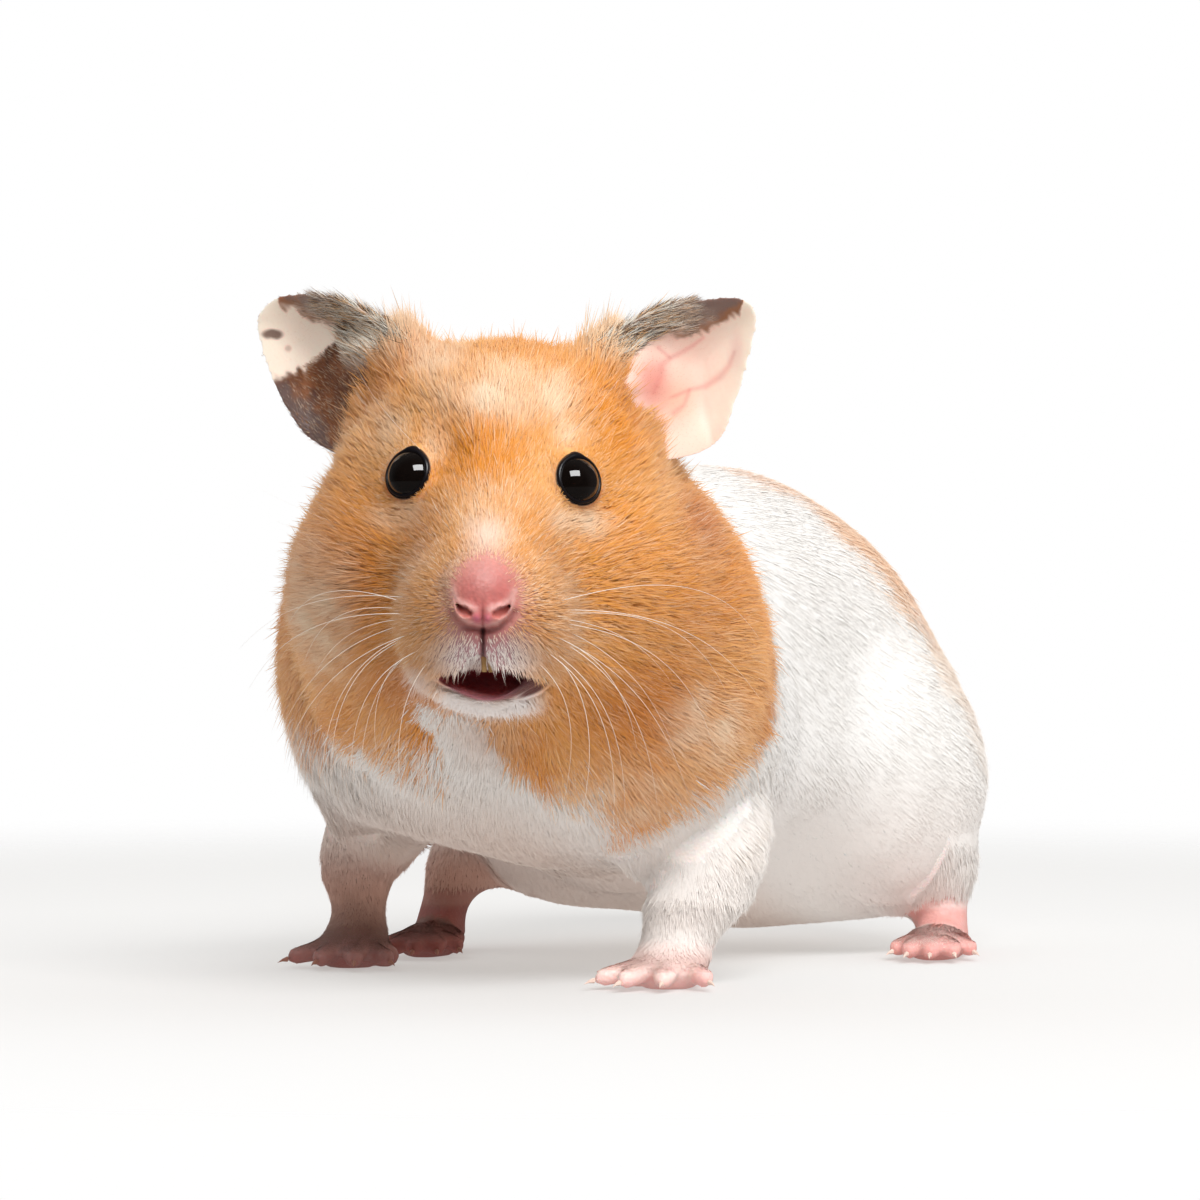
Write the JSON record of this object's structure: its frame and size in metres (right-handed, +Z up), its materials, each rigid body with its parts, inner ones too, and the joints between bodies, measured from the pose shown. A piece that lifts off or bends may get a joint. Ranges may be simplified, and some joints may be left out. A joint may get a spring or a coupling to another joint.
{
  "type": "hamster",
  "caption": "Short-haired golden and white hamster, life size, standing on all fours with its head turned to its left and its mouth slightly open.",
  "frame": {"origin": "on the floor, under the middle of the whole animal", "axes": "+Z up; the animal faces -Y, so +Y runs along its back to the rump and is its longest extent; +X is its left side"},
  "size_m": [0.066, 0.134, 0.0711],
  "materials": {
    "golden_fur": "short fur",
    "white_fur": "short fur",
    "ear_skin": "thin skin",
    "nose_skin": "moist skin",
    "paw_skin": "skin",
    "eye_black": "wet",
    "claw_horn": "horn"
  },
  "bodies": {
    "root": {"head": "golden_fur", "neck": "golden_fur", "torso": "white_fur", "nose": "nose_skin", "ear_left": "ear_skin", "ear_right": "ear_skin", "eye_left": "eye_black", "eye_right": "eye_black", "tail": "paw_skin", "foreleg_left": "white_fur", "forepaw_left": "paw_skin", "forepaw_left_claw_1": "claw_horn", "forepaw_left_claw_2": "claw_horn", "forepaw_left_claw_3": "claw_horn", "forepaw_left_claw_4": "claw_horn", "foreleg_right": "white_fur", "forepaw_right": "paw_skin", "forepaw_right_claw_1": "claw_horn", "forepaw_right_claw_2": "claw_horn", "forepaw_right_claw_3": "claw_horn", "forepaw_right_claw_4": "claw_horn", "hindleg_left": "white_fur", "hindfoot_left": "paw_skin", "hindfoot_left_claw_1": "claw_horn", "hindfoot_left_claw_2": "claw_horn", "hindfoot_left_claw_3": "claw_horn", "hindfoot_left_claw_4": "claw_horn", "hindfoot_left_claw_5": "claw_horn", "hindleg_right": "white_fur", "hindfoot_right": "paw_skin", "hindfoot_right_claw_1": "claw_horn", "hindfoot_right_claw_2": "claw_horn", "hindfoot_right_claw_3": "claw_horn", "hindfoot_right_claw_4": "claw_horn", "hindfoot_right_claw_5": "claw_horn"}
  },
  "joints": []
}
